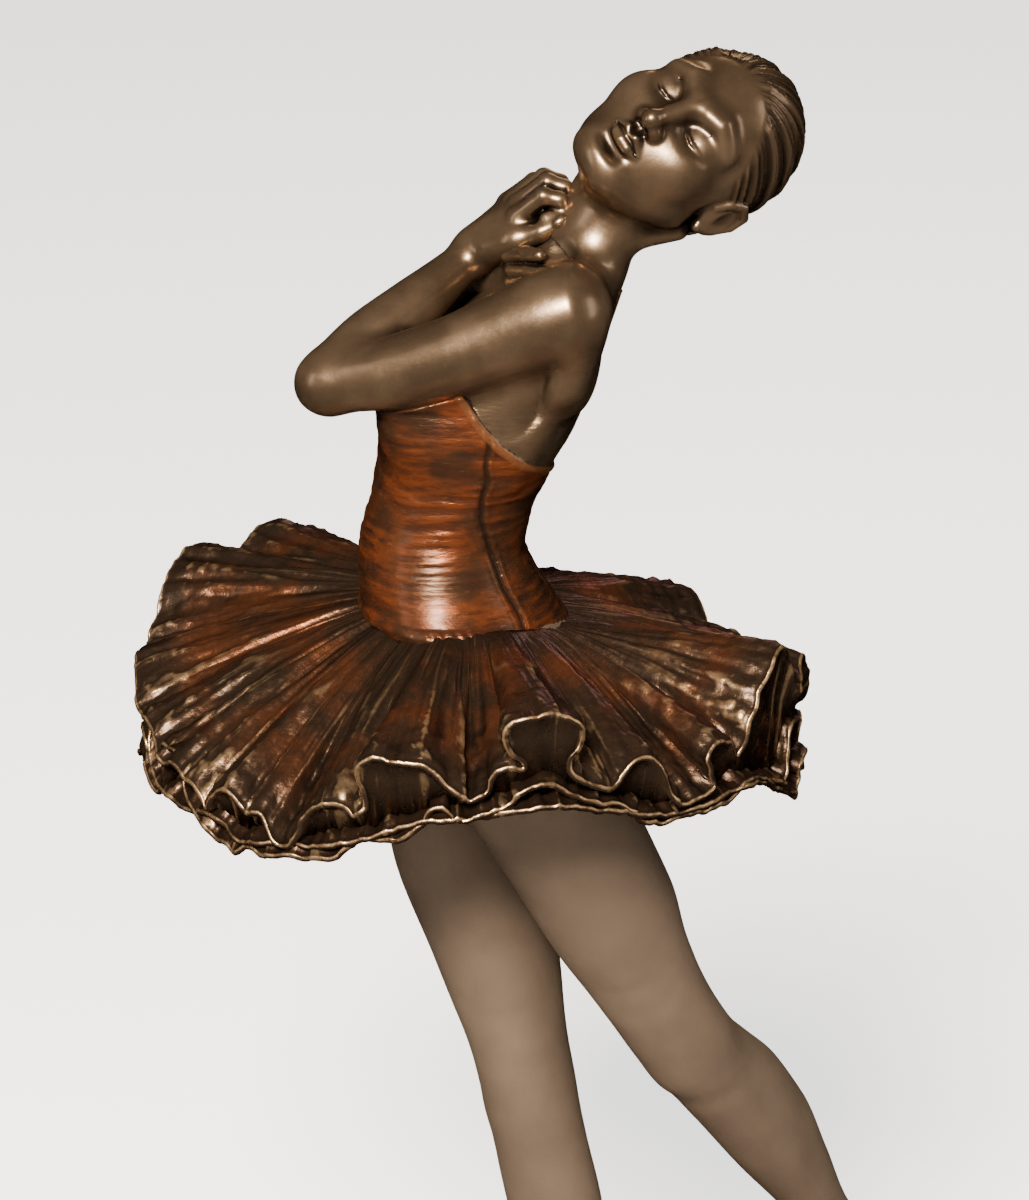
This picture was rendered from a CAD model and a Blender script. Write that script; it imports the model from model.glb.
"""Visual model of the dancer statuette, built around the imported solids.

Shapes are worked out in millimetres as distance fields, which are below 0 inside a form, and skinned.
She faces -X, her left side faces -Y and +Z is up.
"""
import functools
import itertools
import math
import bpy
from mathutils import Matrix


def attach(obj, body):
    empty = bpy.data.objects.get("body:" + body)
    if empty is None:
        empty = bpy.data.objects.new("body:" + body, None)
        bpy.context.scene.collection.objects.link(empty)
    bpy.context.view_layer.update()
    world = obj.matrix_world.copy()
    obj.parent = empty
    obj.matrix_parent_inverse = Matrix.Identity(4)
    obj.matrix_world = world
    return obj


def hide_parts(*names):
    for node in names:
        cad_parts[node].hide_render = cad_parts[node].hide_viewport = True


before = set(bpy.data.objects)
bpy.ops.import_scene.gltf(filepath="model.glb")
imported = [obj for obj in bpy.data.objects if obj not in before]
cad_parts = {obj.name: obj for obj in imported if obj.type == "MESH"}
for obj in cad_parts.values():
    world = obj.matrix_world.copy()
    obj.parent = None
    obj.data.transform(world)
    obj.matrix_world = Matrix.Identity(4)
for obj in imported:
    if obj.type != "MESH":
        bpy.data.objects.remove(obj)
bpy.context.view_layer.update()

from concurrent.futures import ThreadPoolExecutor

import bpy
import numpy as np
from mathutils import Matrix, Vector

MM = 0.001
pool = ThreadPoolExecutor(4)
rng = np.random.default_rng(11)
made = {}

# ---- landmarks of the figure, as in the solids ----
AT = {name: np.array(point, float) for name, point in {
    "neck": (-13.8, -13.0, 243.0),
    "head": (2.5, -14.0, 262.6),
    "right_hip": (-38.5, 1.0, 166.0),
    "right_knee": (-23.3, -13.0, 96.0),
    "right_ankle": (-11.5, -11.0, 30.0),
    "right_heel": (-5.0, -14.0, 22.5),
    "left_hip": (-28.0, -27.0, 169.0),
    "left_knee": (3.3, -17.7, 106.5),
    "left_ankle": (38.0, 15.0, 51.0),
    "left_toe": (42.5, 19.5, 19.5),
    "left_shoulder": (-18.0, -34.0, 239.0),
    "left_elbow": (-56.6, -26.0, 225.4),
    "left_wrist": (-32.0, -8.0, 243.5),
    "right_shoulder": (-19.0, 9.0, 237.5),
    "right_elbow": (-53.0, 3.0, 222.0),
    "right_wrist": (-33.0, -1.0, 239.0),
}.items()}


def unit(v):
    v = np.asarray(v, float)
    return v / np.linalg.norm(v)


def f32(v):
    return np.asarray(v, np.float32)


def table(x, xs, ys):
    """Straight runs through (xs, ys), read at x."""
    return f32(np.interp(x, xs, ys))


def eased(t):
    """A soft step for t in 0..1."""
    return t * t * (3 - 2 * t)


# ---- distance fields ----
def ball(centre, radius):
    centre = f32(centre)
    return lambda p: np.sqrt(((p - centre) ** 2).sum(1)) - radius


def egg(centre, radii, axes=None):
    """An ellipsoid; the rows of axes are its own directions."""
    centre, radii = f32(centre), f32(radii)
    turned = None if axes is None else f32(axes).T

    def field(p):
        q = p - centre
        if turned is not None:
            q = q @ turned
        q = q / radii
        k0 = np.sqrt((q * q).sum(1))
        k1 = np.sqrt(((q / radii) ** 2).sum(1))
        return np.where(k0 < 0.2, -radii.min(), k0 * (k0 - 1) / np.maximum(k1, 1e-6))
    return field


def rod(a, b, ra, rb):
    """A bar with rounded ends that tapers from ra to rb."""
    a = f32(a)
    ab = f32(b) - a
    span = float((ab * ab).sum())

    def field(p):
        q = p - a
        t = np.clip(q @ ab / span, 0, 1)
        return np.sqrt(((q - t[:, None] * ab) ** 2).sum(1)) - (ra + (rb - ra) * t)
    return field


def chain(points, radii, k=0.0):
    """Bars end to end through the points."""
    parts = [rod(points[i], points[i + 1], radii[i], radii[i + 1]) for i in range(len(points) - 1)]
    return join(k, *parts)


LOFT_STEPS = 160


def loft(axis, side, rows, round_ends=5.0):
    """A limb or trunk of rows (centre, half width along side, half depth in front, half depth behind)."""
    w = unit(axis)
    v = unit(np.cross(w, side))
    u = np.cross(v, w)
    sections = np.array([(np.dot(centre, w), np.dot(centre, u), np.dot(centre, v), *radii)
                         for centre, *radii in rows])
    s = sections[:, 0]
    fine = np.linspace(s[0], s[-1], LOFT_STEPS)
    columns = [f32(smooth_through(s, sections[:, i], fine)) for i in range(1, 6)]
    fine = f32(fine)
    w, u, v = f32(w), f32(u), f32(v)
    low, high = float(s[0]), float(s[-1])

    def field(p):
        h = p @ w
        cu, cv, wide, front, back = (table(h, fine, c) for c in columns)
        x = p @ u - cu
        y = p @ v - cv
        depth = np.where(y > 0, back, front)
        x1 = x / wide
        y1 = y / depth
        k0 = np.sqrt(x1 * x1 + y1 * y1)
        k1 = np.sqrt((x1 / wide) ** 2 + (y1 / depth) ** 2)
        d = np.where(k0 < 0.2, -np.minimum(wide, depth), k0 * (k0 - 1) / np.maximum(k1, 1e-6))
        return smax(d, np.maximum(low - h, h - high), round_ends)
    return field


def smooth_through(x, y, at):
    """A curve through (x, y) with no overshoot."""
    d = np.diff(y) / np.diff(x)
    m = np.zeros(len(x))
    m[0], m[-1] = d[0], d[-1]
    for i in range(1, len(x) - 1):
        if d[i - 1] * d[i] > 0:
            m[i] = 2 * d[i - 1] * d[i] / (d[i - 1] + d[i])
    i = np.clip(np.searchsorted(x, at) - 1, 0, len(x) - 2)
    h = x[i + 1] - x[i]
    t = (at - x[i]) / h
    return (y[i] * (1 + 2 * t) * (1 - t) ** 2 + m[i] * h * t * (1 - t) ** 2
            + y[i + 1] * t * t * (3 - 2 * t) + m[i + 1] * h * t * t * (t - 1))


def smin(a, b, k):
    """The union of two forms with a fillet about k across."""
    if k <= 0:
        return np.minimum(a, b)
    h = np.maximum(k - np.abs(a - b), 0) / k
    return np.minimum(a, b) - h * h * k * 0.25


def smax(a, b, k):
    """What two forms share, with a rounded edge about k across."""
    return -smin(-a, -b, k)


def modelled(d, p, *steps):
    """Adds (k at or above 0) or carves (k below 0) forms one after the other; each step is (form, k)."""
    for form, k in steps:
        d = smin(d, form(p), k) if k >= 0 else smax(d, -form(p), -k)
    return d


def join(k, *fields):
    def field(p):
        d = fields[0](p)
        for other in fields[1:]:
            d = smin(d, other(p), k)
        return d
    return field


# ---- skin of a field: naive surface nets, then a pull onto the exact surface ----
CHUNK = 60000


def evaluate(field, points):
    parts = np.array_split(points, max(1, len(points) // CHUNK))
    return np.concatenate(list(pool.map(field, parts)))


def gradient(field, p, e=0.04):
    """The field's slope from the four corners of a small tetrahedron."""
    g = np.zeros_like(p)
    for corner in ((1, 1, 1), (1, -1, -1), (-1, 1, -1), (-1, -1, 1)):
        k = f32(corner)
        g += evaluate(field, p + k * e)[:, None] * k
    return g / (4 * e)


BLOCK = 8
BLOCK_REACH = 1.8


def skin(field, low, high, step):
    """Vertices, quads and normals of the field's zero surface inside a box."""
    low = np.asarray(low, float)
    counts = np.ceil((np.asarray(high, float) - low) / step).astype(int) + 1
    blocks = np.ceil((counts - 1) / BLOCK).astype(int)
    counts = blocks * BLOCK + 1
    grid = np.stack(np.meshgrid(*[np.arange(n) for n in blocks], indexing="ij"), -1).reshape(-1, 3)
    # Blocks far from the surface keep the value at their centre; the others are worked out point by point.
    d = evaluate(field, f32(low + (grid + 0.5) * BLOCK * step))
    values = np.repeat(np.repeat(np.repeat(d.reshape(blocks), BLOCK, 0), BLOCK, 1), BLOCK, 2)
    values = f32(np.pad(values, ((0, 1),) * 3, mode="edge"))
    need = np.zeros(counts, bool)
    for corner_cell in grid[np.abs(d) < BLOCK * step * BLOCK_REACH] * BLOCK:
        need[tuple(slice(c, c + BLOCK + 1) for c in corner_cell)] = True
    values[need] = evaluate(field, f32(low + np.argwhere(need) * step))
    inside = values < 0
    corner = list(itertools.product((0, 1), repeat=3))
    total = sum(inside[a:counts[0] - 1 + a, b:counts[1] - 1 + b, c:counts[2] - 1 + c].astype(np.int8)
                for a, b, c in corner)
    cells = np.argwhere((total > 0) & (total < 8))
    number = np.full(counts - 1, -1, np.int32)
    number[tuple(cells.T)] = np.arange(len(cells))
    # Each vertex is the mean of the points where its cell's edges cross the surface.
    at = np.stack([values[tuple((cells + c).T)] for c in corner], 1)
    place = np.zeros((len(cells), 3))
    hits = np.zeros(len(cells))
    for i, a in enumerate(corner):
        for j, b in enumerate(corner):
            if j > i and sum(abs(m - n) for m, n in zip(a, b)) == 1:
                cross = (at[:, i] < 0) != (at[:, j] < 0)
                t = at[cross, i] / (at[cross, i] - at[cross, j])
                place[cross] += np.array(a) + t[:, None] * (np.array(b) - np.array(a))
                hits[cross] += 1
    p = f32(low + (cells + place / hits[:, None]) * step)
    quads = []
    for axis in range(3):
        o1, o2 = (axis + 1) % 3, (axis + 2) % 3
        edge = np.argwhere(np.diff(inside, axis=axis))
        within = edge[:, [o1, o2]]
        edge = edge[((within > 0) & (within < counts[[o1, o2]] - 1)).all(1)]
        step1, step2 = np.eye(3, dtype=int)[[o1, o2]]
        ring = [number[tuple((edge - back).T)] for back in (step1 + step2, step2, 0, step1)]
        q = np.stack(ring, 1)
        outward = inside[tuple(edge.T)]
        q[~outward] = q[~outward][:, ::-1]
        quads.append(q)
    quads = np.concatenate(quads)
    for _ in range(2):
        g = gradient(field, p)
        f = evaluate(field, p)
        move = f[:, None] * g / np.maximum((g * g).sum(1), 0.05)[:, None]
        size = np.sqrt((move * move).sum(1))
        p = p - move * np.minimum(1, 0.7 * step / np.maximum(size, 1e-9))[:, None]
    g = gradient(field, p)
    n = g / np.maximum(np.sqrt((g * g).sum(1)), 1e-6)[:, None]
    return p, quads, n


def put_mesh(name, points, quads, slot, nodes, **attributes):
    """A piece made from points in millimetres, riding on the one body, with values for its material."""
    mesh = bpy.data.meshes.new(name)
    mesh.vertices.add(len(points))
    mesh.vertices.foreach_set("co", (f32(points) * MM).ravel())
    mesh.loops.add(quads.size)
    mesh.loops.foreach_set("vertex_index", np.ascontiguousarray(quads, np.int32).ravel())
    mesh.polygons.add(len(quads))
    mesh.polygons.foreach_set("loop_start", np.arange(0, quads.size, quads.shape[1], dtype=np.int32))
    mesh.polygons.foreach_set("use_smooth", np.ones(len(quads), bool))
    mesh.update(calc_edges=True)
    mesh.validate()
    for key, data in attributes.items():
        layer = mesh.attributes.new(key, "FLOAT", "POINT")
        layer.data.foreach_set("value", f32(data))
    obj = bpy.data.objects.new(name, mesh)
    bpy.context.scene.collection.objects.link(obj)
    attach(obj, "root")
    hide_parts(*nodes)
    made[obj] = slot


def hollows(field, p, n, reach):
    """0 on a flat or rounded-out place, rising to 1 deep in a crease."""
    return np.clip(1 - evaluate(field, f32(p + n * reach)) / reach, 0, 1)


# ---- repeatable noise ----
NOISE = f32(rng.random((32, 32, 32))) * 2 - 1


def noise(p):
    """Smooth value noise over points, one lump per unit."""
    cell = np.floor(p).astype(np.int32)
    f = eased(f32(p - cell))
    total = 0
    for corner in itertools.product((0, 1), repeat=3):
        weight = np.where(corner, f, 1 - f)
        total = total + weight[:, 0] * weight[:, 1] * weight[:, 2] * NOISE[tuple(((cell + corner) & 31).T)]
    return total


# ---- trunk ----
# Rows of a loft are (centre, half width, half depth in front, half depth behind).
MIDDLE_Y = -13.0
SIDE = (0.05, -1.0, 0.0)
LEAN = unit((17.5, 0, 60.0))
trunk = loft(LEAN, SIDE, [
    ((-33.8, -13, 172.0), 25.0, 18.0, 20.5),
    ((-34.6, -13, 181.3), 23.4, 17.5, 20.6),
    ((-36.3, -13, 188.2), 19.8, 16.0, 19.0),
    ((-37.3, -13, 195.1), 16.8, 14.0, 15.2),
    ((-37.2, -13, 199.4), 15.8, 12.8, 13.2),
    ((-35.8, -13, 205.5), 16.2, 13.2, 13.1),
    ((-34.2, -13, 210.7), 17.4, 14.4, 13.9),
    ((-31.0, -13, 217.6), 19.0, 15.9, 14.4),
    ((-27.0, -13, 225.0), 20.0, 14.0, 13.4),
    ((-22.5, -13, 231.5), 20.5, 11.5, 11.0),
    ((-19.0, -13, 236.5), 18.5, 9.0, 8.4),
    ((-16.0, -13, 240.8), 12.5, 7.6, 6.6),
    ((-13.0, -13, 245.0), 8.0, 7.0, 6.2),
])
neck_line = unit(AT["head"] - AT["neck"])
neck = loft(neck_line, SIDE, [
    ((-17.5, -13.0, 236.0), 10.5, 9.0, 6.6),
    ((-13.8, -13.2, 243.0), 8.9, 8.2, 5.2),
    ((-10.4, -13.4, 249.0), 8.3, 8.0, 4.4),
    ((-7.0, -13.6, 254.5), 8.2, 8.0, 5.0),
    ((-2.0, -13.8, 262.0), 8.2, 7.4, 7.6),
])
throat = np.array((-20.0, -17.0, 242.5))
bust = join(0.0, egg((-39.8, -22.5, 219.0), (8.0, 8.0, 8.6)), egg((-40.3, -4.5, 218.2), (8.0, 8.0, 8.6)))
shoulders = join(3.0,
                 rod((-15.8, -21.0, 240.5), (-17.6, -31.5, 239.6), 5.6, 6.4),
                 rod((-15.8, -5.0, 239.5), (-18.4, 6.0, 238.2), 5.6, 6.4))
arm_folds = join(0.0, rod((-17.0, -32.0, 232.4), (-18.6, -30.4, 227.0), 4.0, 3.4),
                 rod((-17.6, 6.0, 231.4), (-19.0, 4.4, 226.0), 4.0, 3.4))
blades = join(0.0,
              egg((-16.8, -25.5, 229.0), (4.2, 6.2, 8.4)),
              egg((-17.0, -0.5, 228.0), (4.2, 6.2, 8.4)))
lats = join(0.0,
            rod((-17.4, -29.0, 232.0), (-28.5, -25.5, 211.0), 4.2, 3.2),
            rod((-17.8, 3.0, 231.0), (-29.0, -0.5, 210.0), 4.2, 3.2))
FOLD_Z = (214.0, 216.0, 218.2, 220.8, 224.8, 229.7, 232.0)
FOLD_X = (-29.6, -26.1, -23.5, -21.6, -20.6, -19.6, -19.2)


def armpit(p):
    """How deep the side of the chest lies behind the fold that runs down from the armpit."""
    z = p[:, 2]
    ahead = table(z, FOLD_Z, FOLD_X) - p[:, 0]
    heights = np.arange(FOLD_Z[0], FOLD_Z[-1] + 1)
    lean = table(z, heights, np.gradient(np.interp(heights, FOLD_Z, FOLD_X)))
    ahead = ahead / np.sqrt(1 + lean * lean)
    step = eased(np.clip(ahead / 2.6 + 0.5, 0, 1)) * np.clip(1 - (ahead - 1.0) / 9.0, 0, 1)
    side = np.clip((np.abs(p[:, 1] - MIDDLE_Y) - 11.0) / 4.0, 0, 1)
    level = np.clip((z - 216.5) / 5.0, 0, 1) * np.clip((234.0 - z) / 3.0, 0, 1)
    return (1.3 * step + 0.15 * np.exp(-((ahead - 0.8) / 1.1) ** 2)) * side * level


collarbones = join(0.0, rod(throat + (0.6, -2.2, 1.0), (-16.4, -32.0, 245.0), 1.1, 1.2),
                   rod(throat + (0.2, 3.2, 0.6), (-17.0, 6.0, 243.4), 1.1, 1.2))
spine_groove = chain([(-10.6, -13, 240), (-9.6, -13, 230), (-14.6, -13, 218), (-20.4, -13, 208),
                      (-24.2, -13, 199), (-22.0, -13, 190)], [1.3, 1.5, 1.5, 1.4, 1.2, 1.0])
hollow_above = join(0.0, egg((-19.6, -22.6, 246.6), (3.0, 3.6, 2.4)),
                    egg((-20.4, -4.4, 245.6), (3.0, 3.6, 2.4)))


def trunk_skin(p):
    d = modelled(trunk(p), p, (bust, 5.0), (shoulders, 4.5), (blades, 4.0), (lats, 3.0), (arm_folds, 3.0))
    return modelled(d + armpit(p), p, (spine_groove, -2.6), (neck, 4.5), (collarbones, 1.8),
                    (hollow_above, -2.2))


# ---- arms ----
def upper_arm(shoulder, elbow, out):
    """Deltoid, biceps and triceps, down to the elbow."""
    def at(t, shift=0.0):
        return shoulder + (elbow - shoulder) * t + np.asarray(out) * shift

    return loft(elbow - shoulder, out, [
        (at(-0.17), 4.2, 4.6, 4.6),
        (at(-0.06), 6.8, 7.0, 6.8),
        (at(0.08), 7.4, 7.5, 7.2),
        (at(0.28, -0.7), 6.8, 7.1, 6.9),
        (at(0.50, -1.6), 6.2, 6.6, 6.5),
        (at(0.72, -1.5), 5.9, 6.1, 5.9),
        (at(0.90, -0.5), 5.4, 5.5, 5.3),
        (at(1.00), 5.0, 5.0, 4.9),
        (at(1.10), 3.8, 4.0, 3.8),
    ])


def forearm(elbow, wrist, out):
    def at(t):
        return elbow + (wrist - elbow) * t

    return loft(wrist - elbow, out, [
        (at(-0.14), 3.6, 3.8, 3.8),
        (at(-0.03), 4.8, 5.0, 5.0),
        (at(0.08), 5.2, 5.5, 5.4),
        (at(0.28), 5.5, 5.9, 5.8),
        (at(0.55), 4.7, 5.0, 4.8),
        (at(0.80), 3.6, 3.9, 3.7),
        (at(0.98), 2.9, 3.5, 3.3),
        (at(1.10), 2.8, 3.6, 3.3),
    ])


def points(*rows):
    return [np.array(row) for row in rows]


def finger(joints, radii):
    return chain([np.array(p) for p in joints], radii, 0.5)


def fist(hand, fingers, p):
    """A palm with its fingers side by side and a fine groove between each two."""
    row = fingers[0](p)
    for f in fingers[1:]:
        row = smin(row, f(p), 0.35)
    return smin(hand, row, 1.0)


l_sh, l_el, l_wr = AT["left_shoulder"], AT["left_elbow"], AT["left_wrist"]
r_sh, r_el, r_wr = AT["right_shoulder"], AT["right_elbow"], AT["right_wrist"]
left_upper = upper_arm(l_sh, l_el, unit((0.2, 0.5, 0.85)))
right_upper = upper_arm(r_sh, r_el, unit((0.2, -0.5, 0.85)))
left_fore = forearm(l_el, l_wr, unit((-0.3, -0.5, 0.8)))
right_fore = forearm(r_el, r_wr, unit((-0.3, 0.4, 0.8)))
LEFT_KNUCKLES = points((-25.4, -13.6, 250.2), (-25.2, -10.9, 251.7), (-25.9, -8.2, 252.0),
                       (-27.0, -5.9, 251.0))
LEFT_BENDS = points((-21.3, -15.2, 254.0), (-20.6, -12.3, 255.7), (-21.2, -9.4, 255.9), (-22.8, -6.9, 254.6))
LEFT_TIPS = points((-17.9, -15.6, 251.4), (-17.0, -12.9, 252.6), (-17.6, -10.2, 252.9), (-19.4, -7.8, 252.0))
left_palm = join(2.2,
                 rod(l_wr, LEFT_KNUCKLES[0] + (0.4, 0.4, -1.0), 3.0, 2.1),
                 rod(l_wr, LEFT_KNUCKLES[1] + (0.2, 0, -1.0), 3.0, 2.2),
                 rod(l_wr, LEFT_KNUCKLES[2] + (0.2, 0, -1.0), 3.0, 2.1),
                 rod(l_wr, LEFT_KNUCKLES[3] + (0.2, 0, -0.8), 2.8, 1.9),
                 rod(l_wr + (1.0, -2.2, 0.2), (-26.4, -14.4, 246.4), 2.3, 2.5))
left_fingers = [finger([k, b, b * 0.45 + t * 0.55 + (0.7, -0.1, 0.9), t, t + (-2.9, -0.5, -0.7)],
                       [1.75, 1.55, 1.4, 1.3, 1.15]) for k, b, t in zip(LEFT_KNUCKLES, LEFT_BENDS, LEFT_TIPS)]
left_heel = chain([(-26.0, -11.6, 247.6), (-20.8, -11.4, 251.0), (-19.6, -13.2, 252.0)], [2.8, 2.4, 1.6], 1.0)
left_thumb = finger([(-29.4, -11.8, 244.9), (-25.0, -15.2, 246.9), (-21.6, -16.6, 248.4),
                     (-18.4, -17.0, 250.0)], [2.5, 2.0, 1.65, 1.45])
left_nail = egg((-18.5, -18.1, 250.5), (1.3, 0.7, 0.9), [unit((0.87, -0.1, 0.45)), unit((0.1, -1, 0.1)),
                                                          unit((-0.45, 0, 0.87))])


def left_hand(p):
    palm = modelled(left_palm(p), p, (left_heel, 2.0), (left_thumb, 1.8))
    return smin(fist(palm, left_fingers, p), left_nail(p), 0.25)


RIGHT_KNUCKLES = points((-27.6, -9.6, 241.8), (-26.6, -10.0, 239.4), (-26.2, -9.6, 237.0),
                        (-26.2, -8.6, 234.9))
RIGHT_TIPS = points((-21.9, -21.4, 245.6), (-21.6, -22.2, 243.0), (-22.4, -21.6, 240.6),
                    (-23.4, -19.2, 238.4))
right_palm = join(2.0, *[rod(r_wr, k, 3.0, 2.0) for k in RIGHT_KNUCKLES])
right_fingers = [finger([k, k * 0.55 + t * 0.45 + (-1.6, 0.0, 0.8), k * 0.25 + t * 0.75 + (-0.7, 0, 0.5), t],
                        [1.75, 1.6, 1.4, 1.2]) for k, t in zip(RIGHT_KNUCKLES, RIGHT_TIPS)]
right_thumb = finger([r_wr + (1.5, -2.5, 1.5), (-27.4, -8.4, 244.0), (-24.2, -13.0, 246.2)], [2.3, 1.9, 1.5])


def right_hand(p):
    return fist(smin(right_palm(p), right_thumb(p), 1.6), right_fingers, p)


# Castings that share a fillet each get their half of it and overlap by a hair where they meet.
SHOULDER_FILLET = 3.6
HIP_FILLET = 3.0
SEAT_FILLET = 4.0
LAP = 0.2
TRUNK_FOOT = 176.5  # the trunk's lower end, inside the skirt


def own_half(whole, mine, other):
    return np.maximum(whole, (mine - other) * 0.5 - LAP)


def arm(upper, fore, hand):
    def field(p):
        body, limb = trunk_skin(p), upper(p)
        root = own_half(smin(limb, body, SHOULDER_FILLET), limb, body)
        return smin(root, smin(fore(p), hand(p), 2.2), 2.4)
    return field


def with_arms(d, p):
    """The skin with the fillets into both upper arms, and the nearer arm's own skin."""
    left, right = left_upper(p), right_upper(p)
    return smin(smin(d, left, SHOULDER_FILLET), right, SHOULDER_FILLET), np.minimum(left, right)


def over_collar(p):
    """Height over the seam between the trunk and the neck."""
    return (p - f32((-13.8, MIDDLE_Y, 243.4))) @ f32(neck_line)


def trunk_piece(p):
    body = trunk_skin(p)
    whole, arms = with_arms(body, p)
    return np.maximum(np.maximum(own_half(whole, body, arms), over_collar(p) - LAP), TRUNK_FOOT - p[:, 2])


# ---- head ----
def turn(axis, degrees):
    return np.array(Matrix.Rotation(math.radians(degrees), 3, axis))


HEAD_TURN = turn("X", -17) @ turn("Y", 60) @ turn("X", 8) @ turn("Z", -17) @ turn("X", -12)


def to_head(p):
    """Points in the head's own frame: x to her left, y back, z up, on 38 mm from chin to crown."""
    return (p - f32(AT["head"])) @ f32(HEAD_TURN)


def from_head(v):
    return AT["head"] + HEAD_TURN @ np.asarray(v, float)


BUN = np.array((2.2, 17.6, -3.6))
cranium = egg((0, 2.0, 4.6), (12.9, 15.9, 14.4))
face_mass = egg((0, -4.2, -4.6), (10.9, 11.2, 12.6))
jaw = egg((0, -5.6, -9.4), (8.4, 8.8, 9.4))
chin = egg((0, -11.6, -15.6), (3.8, 3.6, 3.2))


def both(make):
    """The same form on her left and on her right."""
    a, b = make(1.0), make(-1.0)
    return lambda p: np.minimum(a(p), b(p))


cheeks = both(lambda s: egg((6.6 * s, -9.6, -4.6), (4.4, 4.2, 4.4)))
jaw_edge = both(lambda s: rod((9.2 * s, 0.0, -8.4), (3.6 * s, -11.2, -15.6), 2.3, 2.0))
brows = both(lambda s: chain([(1.9 * s, -13.9, 2.6), (5.0 * s, -13.4, 4.0), (8.6 * s, -10.8, 2.8)],
                             [1.1, 1.2, 0.9]))
sockets = both(lambda s: egg((5.1 * s, -15.6, 0.2), (3.9, 3.0, 2.6)))
lids = both(lambda s: egg((5.1 * s, -10.9, -0.4), (3.2, 2.75, 2.5)))
lash = both(lambda s: chain([(2.4 * s, -13.2, -0.9), (3.8 * s, -13.9, -1.55), (5.3 * s, -13.9, -1.75),
                             (6.8 * s, -13.1, -1.4), (7.9 * s, -12.0, -0.7)], [0.12, 0.2, 0.24, 0.22, 0.12]))
lid_fold = both(lambda s: chain([(2.6 * s, -13.0, 0.7), (4.0 * s, -13.3, 1.75), (5.6 * s, -13.2, 1.95),
                                 (7.6 * s, -12.0, 0.9)], [0.14, 0.2, 0.2, 0.12]))
nose = join(1.0, rod((0, -14.0, 2.6), (0, -17.4, -5.4), 1.0, 1.25), ball((0, -17.5, -6.0), 1.6))
wings = both(lambda s: egg((1.85 * s, -15.7, -6.5), (1.15, 1.5, 1.15)))
nostrils = both(lambda s: egg((0.95 * s, -16.5, -7.9), (0.38, 0.65, 0.4)))
upper_lip = both(lambda s: chain([(0.0, -15.7, -9.9), (1.1 * s, -15.8, -9.5), (3.0 * s, -14.4, -10.4)],
                                 [0.75, 0.8, 0.35]))
lower_lip = both(lambda s: chain([(0.0, -15.4, -11.5), (1.6 * s, -15.1, -11.4), (2.9 * s, -14.3, -10.8)],
                                 [1.0, 0.85, 0.35]))
mouth_line = both(lambda s: chain([(0.0, -16.5, -10.7), (1.4 * s, -16.1, -10.5), (3.3 * s, -14.6, -10.7)],
                                  [0.2, 0.2, 0.16]))
philtrum = rod((0, -16.0, -7.9), (0, -16.6, -9.1), 0.42, 0.5)
lip_hollow = egg((0, -16.0, -13.4), (3.2, 1.9, 1.15))
ear_shell = both(lambda s: egg((12.9 * s, 1.8, -1.3), (1.3, 3.3, 4.5),
                               [unit((1.0, -0.42 * s, 0)), unit((0.42 * s, 1.0, 0.12)),
                                unit((0, -0.12, 1.0))]))
ear_rim = both(lambda s: chain([(12.3 * s, -0.9, -1.4), (12.9 * s, -0.6, 1.0), (13.6 * s, 1.2, 2.8),
                                (14.4 * s, 3.6, 2.2), (14.5 * s, 4.4, -0.4), (13.8 * s, 3.4, -3.4),
                                (12.9 * s, 1.2, -5.4)], [0.7, 0.8, 0.85, 0.85, 0.8, 0.8, 0.95]))
ear_bowl = both(lambda s: egg((14.6 * s, 1.2, -1.2), (1.0, 1.3, 2.1)))


HAIR_EDGE_Z = (-14.0, -11.0, -8.0, -5.0, -2.5, -0.6, 0.6, 2.2, 5.0, 8.0, 10.5, 12.5, 14.0, 19.0)
HAIR_EDGE_Y = (17.0, 10.0, 6.6, 5.2, 4.0, 1.0, -2.6, -5.8, -7.6, -9.2, -10.6, -11.6, -11.8, -11.8)


def hairline(q):
    """Above 0 where the hair grows: over the forehead, down past the temple and behind the ear."""
    return q[:, 1] - table(q[:, 2], HAIR_EDGE_Z, HAIR_EDGE_Y)


HAIR_MIDDLE = np.array((0, 2.0, 2.0))
BUN_DIR = unit(BUN - HAIR_MIDDLE)
STRAND_X = unit(np.cross(BUN_DIR, (0, 0, 1.0)))
STRAND_Y = np.cross(BUN_DIR, STRAND_X)


def about_bun(q, centre):
    """Angle round the line to the bun and the way along it; one angle is one combed strand."""
    r = q - f32(centre)
    return r, np.arctan2(r @ f32(STRAND_Y), r @ f32(STRAND_X)), r @ f32(BUN_DIR)


def strands(q):
    """Height of the combed hair over the skull."""
    _, angle, along = about_bun(q, HAIR_MIDDLE)
    swirl = angle + 0.00033 * along * along
    base = np.stack([np.cos(swirl) * 9.0 + 40, np.sin(swirl) * 9.0 + 40, along * 0.045 + 7], 1)
    broad = noise(base)
    fine = noise(base * f32((2.7, 2.7, 1.2)) + 5)
    ridge = 1 - np.abs(np.sin(swirl * 25 + broad * 3.4))
    small = 1 - np.abs(np.sin(swirl * 67 + fine * 3.4))
    return 0.46 * ridge + 0.20 * small + 0.42 * broad


nape_hair = egg((0, 6.0, -2.0), (11.2, 11.6, 11.0))


def hair_field(q):
    grown = eased(np.clip(hairline(q) / 1.6, 0, 1))
    skull = np.minimum(cranium(q), nape_hair(q))
    return skull - (0.55 + 0.85 * (strands(q) - 0.55)) * grown + (1 - grown) * 0.6


def carved_ear(q):
    return smax(ear_shell(q), -ear_bowl(q), 0.8)


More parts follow.
